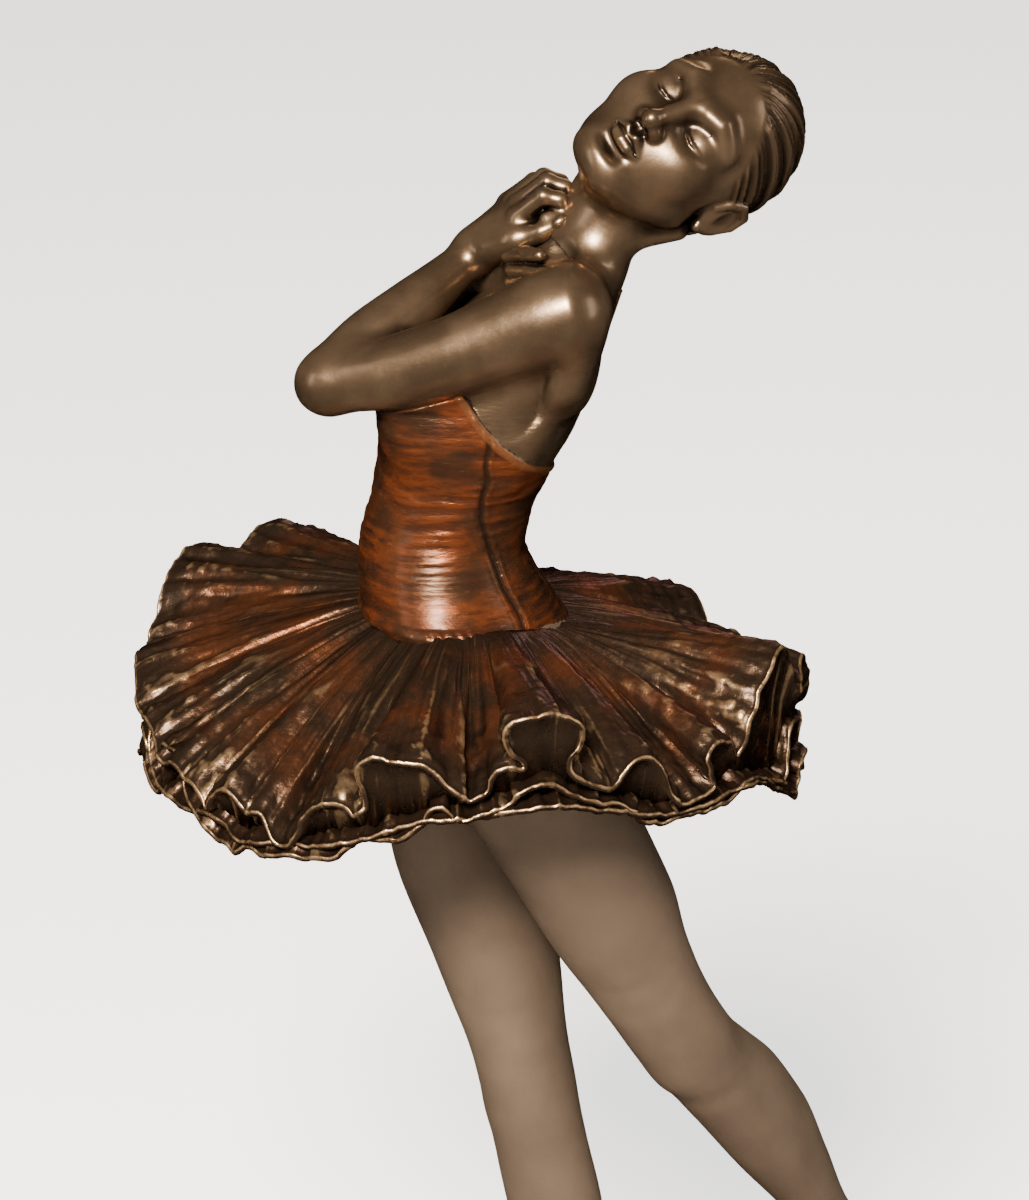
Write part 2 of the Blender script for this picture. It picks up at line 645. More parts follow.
def head_skin(p):
    q = to_head(p)
    return modelled(
        cranium(q), q, (face_mass, 4.0), (jaw, 4.0), (chin, 3.2), (cheeks, 3.6), (jaw_edge, 3.6),
        (sockets, -2.6), (brows, 3.4), (nose, 2.2), (wings, 0.9), (lids, 1.5), (lid_fold, -0.35),
        (lash, 0.35), (nostrils, -0.5), (lip_hollow, -1.8), (upper_lip, 0.9), (lower_lip, 1.0),
        (mouth_line, -0.3), (philtrum, -0.7), (carved_ear, 0.9), (ear_rim, 0.5), (hair_field, 0.5))


muscles = join(0.0, rod(from_head((10.4, 4.6, -8.0)), throat + (1.2, -2.2, 2.4), 2.1, 1.5),
               rod(from_head((-10.4, 4.6, -8.0)), throat + (0.8, 3.0, 2.0), 2.1, 1.5))


def neck_skin(p):
    return smin(neck(p), muscles(p), 2.6)


def head_piece(p):
    body, throat_skin = trunk_skin(p), neck_skin(p)
    whole, arms = with_arms(smin(body, throat_skin, 3.0), p)
    above = np.maximum(whole, -over_collar(p) - LAP)
    return smin(own_half(above, np.minimum(body, throat_skin), arms), head_skin(p), 2.0)


# ---- legs ----
RIGHT_FRONT = unit((-0.90, 0.42, -0.20))
LEFT_FRONT = unit((-0.55, -0.66, -0.50))
left_shin_line = unit(AT["left_ankle"] - AT["left_knee"])
right_shin_line = unit(AT["right_ankle"] - AT["right_knee"])
left_foot_line = unit(AT["left_toe"] - AT["left_ankle"])
left_shin_side = np.cross(left_shin_line, LEFT_FRONT)


def limb(a, b, front, rows):
    """A loft from landmark a to landmark b, whose rows are (share of the way, wide, in front, behind)."""
    line = unit(AT[b] - AT[a])
    return loft(line, np.cross(line, front), [(AT[a] + (AT[b] - AT[a]) * t, *radii) for t, *radii in rows])


left_thigh = limb("left_hip", "left_knee", LEFT_FRONT, [
    (-0.12, 13.5, 13.5, 13.5), (0.05, 14.0, 14.0, 14.0), (0.35, 12.4, 12.4, 12.3), (0.58, 11.5, 11.5, 11.4),
    (0.72, 10.2, 10.2, 8.8), (0.86, 8.8, 8.0, 7.8), (0.97, 7.3, 6.0, 6.8), (1.07, 4.8, 3.6, 4.8),
])
left_shin = limb("left_knee", "left_ankle", LEFT_FRONT, [
    (-0.24, 5.4, 4.4, 5.6), (0.00, 7.7, 6.7, 8.8), (0.12, 7.7, 6.6, 10.4), (0.25, 7.6, 6.2, 11.8),
    (0.40, 7.0, 6.0, 11.3), (0.57, 5.7, 5.2, 8.3), (0.76, 4.2, 4.3, 4.8), (0.92, 3.9, 4.0, 4.4),
    (1.03, 3.9, 3.9, 4.3),
])
left_foot = limb("left_ankle", "left_toe", LEFT_FRONT, [
    (-0.10, 3.9, 3.9, 4.6), (0.08, 4.2, 3.9, 6.0), (0.22, 4.4, 4.4, 5.2), (0.42, 4.5, 4.7, 3.6),
    (0.66, 4.4, 3.6, 3.1), (0.88, 3.4, 2.8, 2.6), (1.04, 2.7, 2.4, 2.3),
])
right_thigh = limb("right_hip", "right_knee", RIGHT_FRONT, [
    (-0.08, 13.5, 13.5, 13.5), (0.05, 14.0, 14.0, 14.0), (0.37, 12.8, 14.6, 12.2), (0.63, 10.9, 11.2, 10.3),
    (0.76, 9.8, 9.4, 9.3), (0.88, 8.3, 7.6, 7.9), (0.98, 7.0, 6.2, 6.8), (1.07, 5.0, 4.2, 4.8),
])
right_shin = limb("right_knee", "right_ankle", RIGHT_FRONT, [
    (-0.20, 5.6, 5.2, 5.4), (0.04, 7.7, 7.2, 7.6), (0.16, 7.5, 7.3, 8.2), (0.31, 7.3, 7.0, 8.8),
    (0.46, 6.7, 6.3, 7.9), (0.63, 5.4, 5.3, 6.1), (0.80, 4.4, 4.6, 4.8), (0.94, 4.0, 4.2, 4.4),
    (1.06, 4.2, 4.2, 4.6),
])
left_kneecap = egg(AT["left_knee"] + LEFT_FRONT * 3.0 + left_shin_line * 0.4, (3.2, 3.2, 3.8))
right_kneecap = egg(AT["right_knee"] + RIGHT_FRONT * 3.6 + right_shin_line * 0.6, (3.2, 3.2, 4.2))
left_ankle_bones = join(0, ball(AT["left_ankle"] + left_shin_side * 3.1, 1.7),
                        ball(AT["left_ankle"] - left_shin_side * 3.1, 1.7))
FOOT_LINE = unit((-0.905, 0.42, 0.0))
FOOT_SIDE = np.array((0.42, 0.905, 0.0))
right_ankle_bones = join(0, ball(AT["right_ankle"] + FOOT_SIDE * 3.3, 1.8),
                         ball(AT["right_ankle"] - FOOT_SIDE * 3.3, 1.8))
heel = AT["right_heel"]
GROUND = 18.0


def sole(t, rise):
    """A point over the sole's middle line, t mm ahead of the heel and rise above the plinth."""
    return np.array((heel[0], heel[1], GROUND + rise)) + FOOT_LINE * t


right_foot = loft(FOOT_LINE, FOOT_SIDE, [
    (sole(-3.6, 4.0), 2.6, 2.6, 2.6),
    (sole(-1.4, 4.4), 4.1, 4.4, 4.3),
    (sole(3.5, 5.0), 4.5, 5.0, 5.0),
    (sole(9.5, 5.6), 4.4, 5.8, 5.4),
    (sole(16.0, 5.0), 4.6, 5.2, 4.8),
    (sole(23.0, 3.6), 5.5, 3.8, 3.5),
    (sole(29.0, 2.8), 5.9, 3.0, 2.7),
    (sole(34.5, 2.3), 4.9, 2.5, 2.2),
    (sole(38.2, 1.9), 3.1, 1.9, 1.8),
    (sole(40.2, 1.6), 1.2, 1.2, 1.2),
])
foot_arch = egg(sole(15.0, -0.6) - FOOT_SIDE * 5.2, (6.5, 3.4, 1.9), [FOOT_LINE, FOOT_SIDE, (0, 0, 1)])
pelvis = loft((0, 0, 1), (0.30, -0.95, 0.0), [
    ((-32.4, -13, 149.5), 9.0, 8.0, 8.0),
    ((-31.5, -13, 157.0), 19.0, 15.0, 15.5),
    ((-32.4, -13, 164.4), 24.2, 17.6, 18.2),
    ((-33.0, -13, 170.0), 25.4, 18.0, 18.6),
    ((-33.7, -13, 176.0), 24.8, 17.6, 18.0),
    ((-34.6, -13, 184.0), 23.0, 16.8, 17.0),
])
seat = join(0, egg((-24.5, -22.5, 163.5), (10.5, 10.5, 10.0)), egg((-28.5, -1.5, 163.0), (10.5, 10.5, 10.0)))


RIBBONS = ((4.0, 0.55), (4.0, -0.55), (7.2, 0.42), (7.2, -0.42))
RIBBON_WIDTH = 2.3


def ribbons(p, ankle, line, side):
    """Depth inside the crossed ribbons over the ankle, each a tilted plane's cut round the shin."""
    inside = []
    for height, tilt in RIBBONS:
        q = p - f32(ankle - line * height)
        off_plane = np.abs(q @ f32(unit(line + side * tilt)))
        off_line = np.sqrt(((q - (q @ f32(line))[:, None] * f32(line)) ** 2).sum(1))
        inside.append(np.where(off_line < 9, RIBBON_WIDTH * 0.5 - off_plane, -5))
    return np.max(inside, 0)


def left_shoe(p):
    """Depth inside the left slipper and its ribbons, in millimetres."""
    q = p - f32(AT["left_ankle"])
    t, ahead = q @ f32(left_foot_line), q @ f32(LEFT_FRONT)
    vamp = t - 15.0 - 2.2 * ahead
    heel_cup = np.minimum(t + 1.5, -2.2 - ahead + 0.10 * t)
    slipper = np.maximum(vamp * 0.5, heel_cup)
    return np.maximum(slipper, ribbons(p, AT["left_ankle"], left_shin_line, left_shin_side))


def right_shoe(p):
    q = p - f32(heel)
    t = q @ f32(FOOT_LINE)
    over = p[:, 2] - GROUND
    slipper = np.minimum(9.4 + 0.05 * np.abs(t - 12) - over, 20.0)
    opening = np.hypot((t - 12.0) / 12.0, (q @ f32(FOOT_SIDE)) / 3.6)
    slipper = np.minimum(slipper, np.where(over > 5.0, (opening - 1) * 3.0, 3.0))
    return np.maximum(slipper, ribbons(p, AT["right_ankle"], right_shin_line, FOOT_SIDE))


SHOE_RISE = 0.32


def shod(leg, shoe, p):
    """The leg with its slipper raised over the skin and its underside cut flat on the plinth."""
    return np.maximum(leg - SHOE_RISE * eased(np.clip(shoe(p) / 0.7 + 0.5, 0, 1)), GROUND - p[:, 2])


def left_leg_skin(p):
    leg = modelled(left_thigh(p), p, (left_shin, 5.0), (left_kneecap, 4.0), (left_foot, 2.4),
                   (left_ankle_bones, 2.0))
    return shod(leg, left_shoe, p)


def right_leg_skin(p):
    leg = modelled(right_thigh(p), p, (right_shin, 5.0), (right_kneecap, 3.6))
    foot = smax(smin(right_foot(p), right_shin(p), 3.6), -foot_arch(p), 1.6)
    return shod(smin(smin(leg, foot, 1.0), right_ankle_bones(p), 2.0), right_shoe, p)


LEG_TOP = 175.5
ROOT_FROM = 140.0  # below this the hips are too far off to matter


def leg(skin_of_leg, thigh):
    """A leg with its half of the fillet into the hips."""
    def field(p):
        own = skin_of_leg(p)
        hips, behind = pelvis(p), seat(p)
        whole = smin(own, smin(hips, behind, SEAT_FILLET), HIP_FILLET)
        root = np.maximum(own_half(whole, thigh(p), np.minimum(hips, behind)), p[:, 2] - LEG_TOP)
        return np.where(p[:, 2] > ROOT_FROM, root, own)
    return field


def hips_piece(p):
    legs = np.minimum(left_thigh(p), right_thigh(p))
    hips, behind = pelvis(p), seat(p)
    whole = smin(smin(hips, behind, SEAT_FILLET), legs, HIP_FILLET)
    return own_half(whole, np.minimum(hips, behind), legs)


# ---- bun ----
bun_core = egg(BUN, (5.6, 4.6, 5.2), [unit((1, 0, 0)), BUN_DIR, unit(np.cross((1, 0, 0), BUN_DIR))])


def bun_skin(p):
    """A low coil of hair: one rope of strands wound round the knot."""
    q = to_head(p)
    r, angle, out = about_bun(q, BUN)
    across = np.sqrt(np.maximum((r * r).sum(1) - out * out, 0))
    turns = across / 2.6 + angle / (2 * np.pi)
    coil = np.abs(np.sin(np.pi * turns))
    fine = np.abs(np.sin(np.pi * (turns * 5 + 0.6 * noise(r * 0.4 + 9))))
    return bun_core(q) - 0.55 * coil - 0.14 * fine


# ---- bodice ----
EDGE_X = (-48.0, -42.0, -37.5, -34.5, -31.7, -28.4, -23.4, -19.5, -14.0)
EDGE_Z = (225.5, 227.5, 228.5, 224.0, 219.6, 215.8, 211.6, 208.6, 207.6)
SEAM_Z = (180.0, 186.0, 191.0, 197.0, 203.0, 210.0, 214.0, 217.0)
SEAM_X = (-22.6, -24.8, -27.6, -30.0, -31.6, -30.6, -30.4, -30.0)


def edge_gap(p):
    """Distance over the bodice's upper edge, measured on the body."""
    x = p[:, 0]
    slope = f32(np.interp(x + 0.5, EDGE_X, EDGE_Z) - np.interp(x - 0.5, EDGE_X, EDGE_Z))
    return (p[:, 2] - table(x, EDGE_X, EDGE_Z)) / np.sqrt(1 + slope * slope)


STRAPS = [(f32((-16.0, -23.5, 246.0)), f32(unit((-0.247, 0.932, 0.262)))),
          (f32((-16.6, -2.5, 245.0)), f32(unit((-0.247, -0.932, 0.262))))]


def strap_gap(p):
    """Distance from the middle of the nearer shoulder strap."""
    left, right = [np.abs((p - at) @ across) for at, across in STRAPS]
    return np.where(p[:, 1] < MIDDLE_Y, left, right)


def bead(gap, half, rise):
    """A round cord, half wide, laid where gap is 0."""
    return rise * np.sqrt(np.clip(1 - (gap / half) ** 2, 0, 1))


def cloth(p):
    """1 on the bodice's cloth, 0 on bare skin."""
    return np.clip(0.5 - edge_gap(p) / 0.5, 0, 1)


def strap(p):
    above = np.clip(edge_gap(p) / 0.6 + 0.5, 0, 1)
    return above * np.clip((1.25 - strap_gap(p)) / 0.3, 0, 1)


def gathers(p):
    """Fine creases that run round the waist, bunched towards the side seam."""
    q = p * f32((0.10, 0.10, 0.62))
    q[:, 2] += 0.35 * noise(p * 0.11 + 3)
    fine = noise(q * f32((1.7, 1.7, 2.1)) + 11)
    ridge = 1 - np.abs(noise(q)) * 2.2
    return 0.6 * ridge + 0.4 * fine


def seam_gap(p):
    wobble = 0.35 * noise(p * 0.3 + 17)
    return np.abs(p[:, 0] - table(p[:, 2], SEAM_Z, SEAM_X) + wobble)


def lip_level(p):
    """Height of the bodice's lower lip, which dips towards her back."""
    return 184.9 - 0.18 * np.maximum(p[:, 0] + 33.0, 0)


TUCK = 1.8  # how far the trunk draws in under the lip, to go inside the skirt


def bodice_rise(p):
    """How far the dressed surface stands over the body."""
    on = cloth(p)
    rise = np.maximum(on * (0.34 + 0.20 * gathers(p)), bead(edge_gap(p), 0.85, 0.62))
    side = seam_gap(p)
    stitches = 0.75 + 0.25 * np.sin(p[:, 2] * 3.4)
    groove, welts = np.clip(1 - side / 0.55, 0, 1), np.clip(1 - np.abs(side - 1.0) / 0.6, 0, 1)
    rise = rise - on * 0.42 * groove + on * 0.22 * welts * stitches
    lip = lip_level(p)
    low = np.abs(p[:, 2] - lip - 0.35 * noise(p * 0.25 + 29))
    rise = rise + bead(low, 1.1, 0.5) * (0.75 + 0.25 * np.sin(p[:, 0] * 3.1 + p[:, 1] * 2.3))
    rise = rise - TUCK * np.clip((lip - 1.3 - p[:, 2]) / 1.4, 0, 1)
    return np.maximum(rise, strap(p) * 0.34 - TUCK * (p[:, 2] < 200))


def torso_piece(p):
    return trunk_piece(p) - bodice_rise(p)


# ---- skirt ----
# Each rim is a run of (angle, height) in degrees and millimetres. The angle is 0 on her left and grows
# towards her back.
TOP_RIM = [
    (-74, 168.5), (-69, 166.5), (-64, 164.4), (-60, 165.4), (-57, 163.6), (-54, 163.0), (-50.6, 160.3),
    (-48, 162.6), (-46, 164.4), (-43.5, 164.4), (-40.5, 161.8), (-37.6, 162.4), (-36.2, 160.2),
    (-34.3, 158.3), (-31.6, 158.3), (-29.6, 160.4), (-28, 163.8), (-24.4, 166.0), (-21.8, 166.0),
    (-19.4, 164.7), (-17.2, 166.3), (-17.2, 169.0), (-18.0, 172.2), (-16.4, 174.6), (-12.5, 174.5),
    (-7.4, 173.7), (-4.4, 171.3), (-0.6, 168.5), (2.4, 169.8), (4.8, 173.0), (8.6, 173.2), (9.0, 174.6),
    (6.6, 177.6), (6.6, 180.2), (9.0, 181.7), (13.4, 181.9), (17.2, 180.6), (18.2, 178.0),
    (16.2, 174.6), (16.6, 172.2), (19.1, 170.3), (23.6, 168.6), (26.0, 170.4), (28, 172.6),
    (31.0, 172.5), (33.5, 170.0), (34.6, 166.6), (36.4, 164.3), (40.6, 164.6), (44.6, 165.8),
    (43.6, 168.6), (42.8, 170.8), (45.0, 172.3), (49, 171.3), (51.6, 168.6), (53.6, 170.4),
    (55.4, 174.4), (59, 179.6), (64, 183.4), (68, 181.0), (71, 176.0), (74, 173.0), (78, 174.6),
    (82, 177.0), (86, 175.0), (90, 170.0), (95, 166.0), (99, 164.6), (102, 165.8), (103.4, 168.2),
    (107, 169.4), (110.4, 168.2), (111.6, 165.6), (114, 164.0), (118, 163.8), (121, 165.4),
    (122.6, 167.2), (126, 167.4), (129, 165.6), (131.4, 164.6), (133.6, 166.4), (133.8, 170.0),
    (135.4, 172.8), (139, 173.8), (144, 172.6), (149, 172.8), (154, 171.2), (159, 171.8), (164, 169.6),
    (168, 170.2), (172, 168.4), (176, 167.6), (180, 168.2), (184, 170.5), (184.8, 175), (184.2, 178.5),
    (187.5, 181), (191.5, 180.5), (194, 177), (195.2, 172.8), (199, 171), (203, 172.8), (207, 178.5),
    (213, 183), (219, 185), (224, 183.4), (228, 179.4), (232, 179.8), (237, 184.4), (243, 184.7),
    (250, 181), (256, 174.8), (262, 172.2), (268, 174.2), (274, 172.5), (280, 168.4),
]
MIDDLE_RIM = [
    (-50.4, 155.5), (-46.4, 155.2), (-43.4, 154.2), (-40.5, 155.8), (-37.1, 155.2), (-32.6, 156.3),
    (-28.3, 156.3), (-23.6, 157.0), (-21.0, 158.6), (-18.2, 160.7), (-14.9, 161), (-12.4, 160.9),
    (-9.9, 162.2), (-7.6, 164.2), (-6.2, 166.9), (-4.2, 166.7), (-1.7, 165.1), (1.7, 165.7),
    (4.4, 166.4), (7.3, 168.1), (10.2, 170.2), (13.2, 170.2), (17.4, 168.2), (22.0, 166.2),
    (25.1, 166.3), (27.8, 164.2), (30.5, 162.2), (34.3, 161.5), (38.8, 161.7), (46.1, 161.4),
    (50.5, 161.6), (54.6, 163.4), (60.4, 162.6), (64, 160.0), (68, 158.4), (72, 160.5), (73.0, 164.4),
    (75.4, 167.0), (79.6, 166.4), (82.0, 163.0), (85, 159.6), (90, 157.8),
]


def waves(start, stop, count, low, high, seed):
    """More rim in the same hand: folds of uneven width that lean over themselves."""
    r = np.random.default_rng(seed)
    w = (stop - start) / count
    rim = []
    for e in start + w * (np.arange(count) + 0.5):
        lift = r.uniform(0.65, 1.0)
        lean = r.uniform(-0.5, 0.5)
        top = low + (high - low) * lift
        rim += [(e - 0.42 * w, low + r.uniform(0, 1.5)), (e - 0.16 * w, low + (top - low) * 0.45),
                (e - 0.20 * w + lean, top - 1.2), (e + 0.02 * w + lean, top),
                (e + 0.24 * w + lean, top - 1.6), (e + 0.20 * w, low + (top - low) * 0.4)]
    return rim


MM_PER_DEGREE = 0.97  # along the rim


def closed_curve(points, count):
    """An even run of points round a closed Catmull-Rom curve of (degrees, millimetres)."""
    c = np.array(points, float)
    whole_turn = np.array((360.0, 0.0))
    knots = np.concatenate([c[-1:] - whole_turn, c, c[:2] + whole_turn])
    t = np.linspace(0, 1, 24, endpoint=False)[:, None]
    line = np.concatenate([0.5 * (2 * p1 + (p2 - p0) * t + (2 * p0 - 5 * p1 + 4 * p2 - p3) * t * t
                                  + (3 * p1 - p0 - 3 * p2 + p3) * t ** 3)
                           for p0, p1, p2, p3 in zip(knots, knots[1:], knots[2:], knots[3:])])
    around = np.concatenate([line, line[:1] + whole_turn])
    step = np.hypot(np.diff(around[:, 0]) * MM_PER_DEGREE, np.diff(around[:, 1]))
    s = np.concatenate([[0], np.cumsum(step)])
    at = np.linspace(0, s[-1], count, endpoint=False)
    return np.interp(at, s, around[:, 0]), np.interp(at, s, around[:, 1])


def smooth_ring(values, width):
    """A running mean round a closed ring."""
    k = np.hanning(width * 2 + 1)
    k /= k.sum()
    return np.convolve(np.concatenate([values[-width:], values, values[:width]]), k, "valid")


HUB = np.array((-33.0, MIDDLE_Y))
RING_ANGLE = math.atan2(0.25, 0.96)


def ring_radius(phi, wide=23.6, deep=17.2):
    """The waist, an oval about the hub."""
    t = phi - RING_ANGLE
    return wide * deep / np.sqrt((deep * np.cos(t)) ** 2 + (wide * np.sin(t)) ** 2)


def rim_level(rim):
    """Angles and calmed heights of a rim, for what has to meet the layer from above."""
    angle, height = closed_curve(rim, 720)
    order = np.argsort(angle)
    return angle[order], smooth_ring(height[order], 16)


HALF_SHEET = 0.42
INSIDE_WAIST = 5.0  # each sheet starts this far inside the waist's outline
BACK_DIP = 3.3  # how much lower the waist lies at her back
HUB_THICKNESS = 2.4
REST_DEPTH = 0.6  # how far a layer sits into the one below
LIP_HEIGHT, LIP_REACH = 0.54, 0.6
LIP_STEPS = (60, 20, -20, -60)
FILL_DEPTH = 2.8  # how far behind the lip the space down to the next layer is filled


def skirt(name, rim, reach, hub_z, droop, seed, count, rests=None, rows=56, under=26):
    """One gathered layer: a sheet from the waist to its rim with a rounded lip. Behind the lip the casting
    is filled down to the layer that it rests on."""
    angle, height = closed_curve(rim, count)
    turned = np.arange(count) / count * 360.0
    calm = np.radians(smooth_ring(angle - angle[0] - turned, count // 20) + angle[0] + turned)
    phi = np.radians(angle)
    level = smooth_ring(height, count // 14)
    r = np.random.default_rng(seed)
    fringe = smooth_ring(r.normal(0, 1, count), 5) * 1.1
    far = reach + fringe * 0.35 + smooth_ring(r.normal(0, 1, count), 22) * 2.2
    hub = (hub_z - BACK_DIP * np.maximum(np.sin(calm), 0) ** 1.5)[:, None]

    def sheet(v):
        """The folds without their pleats; v runs from 0 at the waist to 1 at the rim."""
        ang = calm[:, None] + (phi - calm)[:, None] * v ** 1.7
        start = ring_radius(calm)[:, None] - INSIDE_WAIST
        rad = start + (far[:, None] - start) * v
        z = hub + (level[:, None] - hub) * v ** droop + (height - level)[:, None] * v ** 1.25
        return np.stack([HUB[0] + rad * np.sin(ang), HUB[1] - rad * np.cos(ang), z], -1), rad, ang

    def crinkled(v):
        """The pleated sheet, its normals and how high each point stands, for the rubbed finish."""
        v = v[None, :]
        p, rad, ang = sheet(v)
        n = np.cross(np.roll(p, -1, 0) - np.roll(p, 1, 0), np.gradient(p, axis=1))
        n /= np.maximum(np.linalg.norm(n, axis=-1, keepdims=True), 1e-9)
        n *= np.sign(n[..., 2].mean())

        def grain(at):
            return noise(at.reshape(-1, 3)).reshape(ang.shape)

        flat = f32(np.stack([np.cos(ang) * 20 + 40, np.sin(ang) * 20 + 40, rad * 0.05 + seed], -1))
        broad, narrow = grain(flat * 0.9), grain(flat * f32((2.1, 2.1, 1.6)) + 7)
        coarse, fine = grain(f32(p * 0.62) + 3), grain(f32(p * 1.5) + 8)
        pleat = (1 - 2 * np.abs(broad)) * 0.9 + (1 - 2 * np.abs(narrow)) * 0.45
        grown = np.clip(v / 0.12, 0, 1) * (0.30 + 0.95 * v)
        lace = np.clip((v - 0.45) / 0.5, 0, 1)
        rise = pleat * grown * 0.85 + (coarse * 0.30 + fine * 0.13) * (0.3 + 0.9 * lace)
        rise *= 1 - 0.5 * np.clip((v - 0.97) / 0.03, 0, 1)
        return p + n * rise[..., None], n, pleat / 1.35 + (coarse + fine) * 0.35 * lace

    v_top = np.linspace(0, 1, rows) ** 0.92
    v_low = np.linspace(1, 0, under) ** 0.92
    q, n, ridge = crinkled(v_top)
    upper = q + n * HALF_SHEET
    pick = np.clip(np.searchsorted(v_top, v_low), 0, rows - 1)
    lower = q[:, pick] - n[:, pick] * HALF_SHEET
    if rests is not None:
        below = np.interp((angle + 90) % 360 - 90, *rests, period=360)[:, None] - REST_DEPTH
        open_part = np.clip((v_low - (1 - FILL_DEPTH / reach)) / 0.02, 0, 1)[None, :]
        filled = below + (hub - HUB_THICKNESS - below) * (1 - v_low[None, :]) ** 0.8
        sunk = np.minimum(filled, lower[..., 2])
        lower[..., 2] = lower[..., 2] * open_part + sunk * (1 - open_part)
    edge, up = q[:, -1], n[:, -1]
    out = edge - q[:, -3]
    out /= np.linalg.norm(out, axis=1, keepdims=True)
    lip = [edge + up * LIP_HEIGHT + out * 0.1]
    lip += [edge + up * LIP_HEIGHT * math.sin(w) + out * LIP_REACH * math.cos(w)
            for w in np.radians(LIP_STEPS)]
    grid = np.concatenate([upper, np.stack(lip, 1), lower[:, 1:]], 1)
    length = grid.shape[1]
    i = np.arange(count)[:, None] * length
    i2 = np.roll(i, -1, 0)
    j = np.arange(length)[None, :]
    j2 = np.roll(j, -1, 1)
    quads = np.stack([i + j, i2 + j, i2 + j2, i + j2], -1).reshape(-1, 4)
    high = np.concatenate([ridge, np.repeat(ridge[:, -1:], 5, 1), ridge[:, pick][:, 1:]], 1)
    trim = np.zeros(grid.shape[:2])
    trim[:, rows - 1:rows + 3] = (0.45, 1.0, 1.0, 0.35)
    outward = np.concatenate([v_top, np.ones(5), v_low[1:]])[None, :] + 0 * high
    slot = "skirt_patina" if name == "tutu_top" else "skirt_patina_deep"
    put_mesh(name + "_form", grid.reshape(-1, 3), quads, slot, [name], ridge=high.ravel(), trim=trim.ravel(),
             outward=outward.ravel())


middle_rim = [*MIDDLE_RIM, *waves(96, 304, 13, 157.0, 167.5, 5)]
under_rim = [
    (-78, 168.0), (-75, 161.4), (-67, 158.2), (-58.5, 157.8), (-53.8, 158.4), (-49.5, 158.6), (-44, 156.6),
    (-38, 157.0), (-32, 158.2), (-26, 158.6), (-20, 160.2), (-14, 162.2), (-8, 164.4), (-2, 165.0),
    (5, 165.8), (12, 167.0), (20, 166.0), (28, 164.0), (36, 162.6), (44, 162.4), (52, 162.8), (60, 161.8),
    (68, 159.4), *waves(72, 272, 12, 155.0, 162.5, 8), (276, 160.0), (279, 165.0)]

# ---- pieces ----
FINE = 1.0


CREASE_REACH = 1.6


def piece(name, field, low, high, step, slot, node, measure=None):
    """Skins a field inside its box and gives the result its slot, its node and what its material reads."""
    p, quads, n = skin(field, low, high, step * FINE)
    cavity = hollows(field, p, n, CREASE_REACH)
    put_mesh(name, p, quads, slot, [node], cavity=cavity, **(measure(p) if measure else {}))


def torso_measures(p):
    return {"cloth": cloth(p), "gather": gathers(p), "piping": np.clip(1 - np.abs(edge_gap(p)) / 0.9, 0, 1),
            "seam": np.clip(1 - seam_gap(p) / 0.9, 0, 1), "strap": strap(p)}


def head_measures(p):
    q = to_head(p)
    ear = np.minimum(ear_shell(q), ear_rim(q))
    grown = np.clip(hairline(q) / 1.2, 0, 1) * np.clip(ear / 0.5, 0, 1)
    grown = grown * np.clip(((q * q).sum(1) - 100) / 20, 0, 1)
    return {"hair": grown, "strand": strands(q)}


def shoe_measure(shoe):
    return lambda p: {"shoe": np.clip(shoe(p) / 0.3 * 0.5 + 0.5, 0, 1)}


bun_at = from_head(BUN)
piece("torso_form", torso_piece, (-56, -42, 175), (-2, 16, 250), 0.36, "bodice_patina", "bodice_torso",
      torso_measures)
piece("left_arm_form", arm(left_upper, left_fore, left_hand), (-66, -48, 212), (-6, 2, 262), 0.32,
      "skin_bronze", "left_arm")
piece("right_arm_form", arm(right_upper, right_fore, right_hand), (-64, -28, 210), (-6, 24, 260), 0.36,
      "skin_bronze", "right_arm")
piece("head_form", head_piece, (-32, -40, 234), (28, 14, 284), 0.27, "skin_bronze", "head", head_measures)
piece("bun_form", bun_skin, bun_at - 9, bun_at + 9, 0.22, "hair_bronze", "hair_bun")
piece("hips_form", hips_piece, (-62, -46, 140), (-6, 22, 186), 0.6, "hip_bronze", "hips")
piece("left_leg_form", leg(left_leg_skin, left_thigh), (-50, -46, 17), (52, 30, 178), 0.5,
      "leg_bronze", "trailing_leg", shoe_measure(left_shoe))
piece("right_leg_form", leg(right_leg_skin, right_thigh), (-60, -32, 17), (4, 22, 178), 0.48,
      "leg_bronze", "standing_leg", shoe_measure(right_shoe))
COUNT = 900
skirt("tutu_top", TOP_RIM, 55.5, 185.2, 1.35, 21, COUNT, rests=rim_level(middle_rim))
skirt("tutu_middle", middle_rim, 54.6, 182.2, 1.2, 22, COUNT, rests=rim_level(under_rim))
skirt("tutu_under", under_rim, 55.0, 180.0, 1.1, 23, COUNT)


# ---- materials ----
def opaque(value):
    """A colour gets its alpha; a socket or a number stays as it is."""
    return (*value, 1) if isinstance(value, tuple) else value


